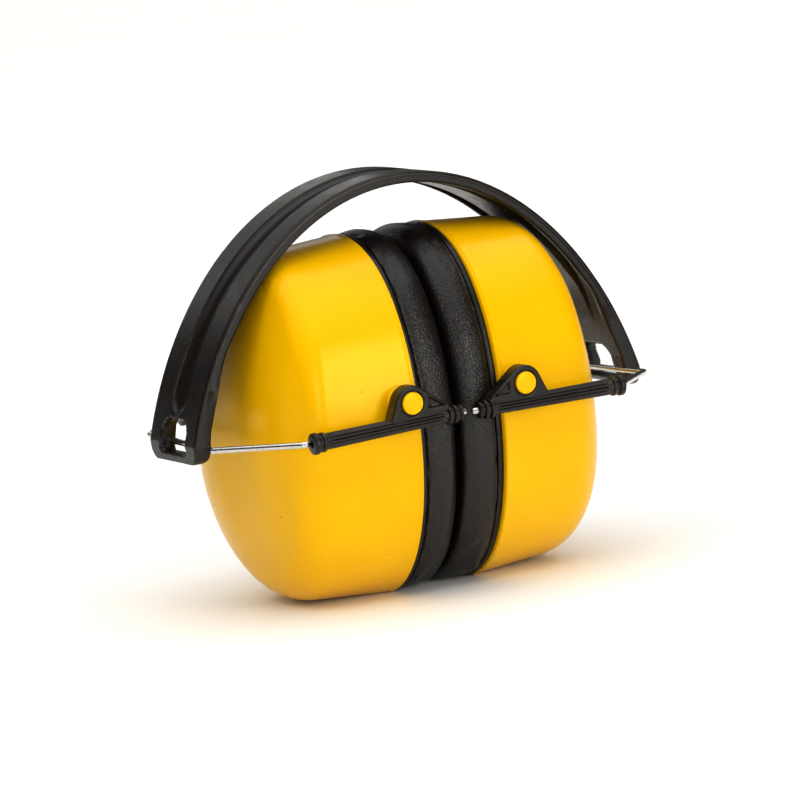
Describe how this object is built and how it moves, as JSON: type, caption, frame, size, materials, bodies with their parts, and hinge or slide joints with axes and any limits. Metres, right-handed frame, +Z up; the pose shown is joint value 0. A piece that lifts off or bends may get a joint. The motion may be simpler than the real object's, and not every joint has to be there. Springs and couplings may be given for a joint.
{
  "type": "hearing protection earmuffs",
  "caption": "Folding ear defenders: oval yellow cups face to face inside an arched black headband, on hinged wire forks with sliding arms.",
  "frame": {"origin": "on the ground, midway between the two cups, under the middle of the whole object", "axes": "+X from the left cup to the right cup, +Y from the front arms to the rear arms, +Z up to the top of the band"},
  "size_m": [0.1404, 0.0898, 0.1152],
  "materials": {
    "cup_plastic": "semi-gloss moulded yellow ABS",
    "frame_plastic": "satin moulded black plastic",
    "cushion_vinyl": "finely grained black vinyl",
    "foam": "open-cell dark grey foam",
    "spring_steel": "bright plated spring wire"
  },
  "bodies": {
    "headband": {"headband": "frame_plastic"},
    "left_fork": {"left_wire_fork": "spring_steel"},
    "left_arms": {"left_front_arm": "frame_plastic", "left_rear_arm": "frame_plastic"},
    "left_cup": {"left_cup_shell": "cup_plastic", "left_front_pivot_stud": "cup_plastic", "left_rear_pivot_stud": "cup_plastic", "left_seat_ring": "frame_plastic", "left_cushion_cover": "cushion_vinyl", "left_cushion_foam": "foam", "left_acoustic_foam": "foam"},
    "right_fork": {"right_wire_fork": "spring_steel"},
    "right_arms": {"right_front_arm": "frame_plastic", "right_rear_arm": "frame_plastic"},
    "right_cup": {"right_cup_shell": "cup_plastic", "right_front_pivot_stud": "cup_plastic", "right_rear_pivot_stud": "cup_plastic", "right_seat_ring": "frame_plastic", "right_cushion_cover": "cushion_vinyl", "right_cushion_foam": "foam", "right_acoustic_foam": "foam"}
  },
  "joints": [
    {"name": "left_fold", "type": "hinge", "parent": "headband", "child": "left_fork", "pos_m": [-0.067, 0, 0.051], "axis": [0, 1, 0], "range_deg": [0, 90]},
    {"name": "left_arm_slide", "type": "slide", "parent": "left_fork", "child": "left_arms", "axis": [1, 0, 0], "range_m": [0, 0.004]},
    {"name": "left_cup_pivot", "type": "hinge", "parent": "left_arms", "child": "left_cup", "pos_m": [-0.0174, 0, 0.0564], "axis": [0, 1, 0], "range_deg": [-90, 0]},
    {"name": "right_fold", "type": "hinge", "parent": "headband", "child": "right_fork", "pos_m": [0.067, 0, 0.051], "axis": [0, -1, 0], "range_deg": [0, 90]},
    {"name": "right_arm_slide", "type": "slide", "parent": "right_fork", "child": "right_arms", "axis": [-1, 0, 0], "range_m": [0, 0.004]},
    {"name": "right_cup_pivot", "type": "hinge", "parent": "right_arms", "child": "right_cup", "pos_m": [0.0174, 0, 0.0564], "axis": [0, -1, 0], "range_deg": [-90, 0]}
  ],
  "couplings": [
    {"joint": "left_arm_slide", "follows": "left_fold", "m_per_rad": 0.00254},
    {"joint": "left_cup_pivot", "follows": "left_fold", "ratio": -1},
    {"joint": "right_arm_slide", "follows": "right_fold", "m_per_rad": 0.00254},
    {"joint": "right_cup_pivot", "follows": "right_fold", "ratio": -1}
  ]
}
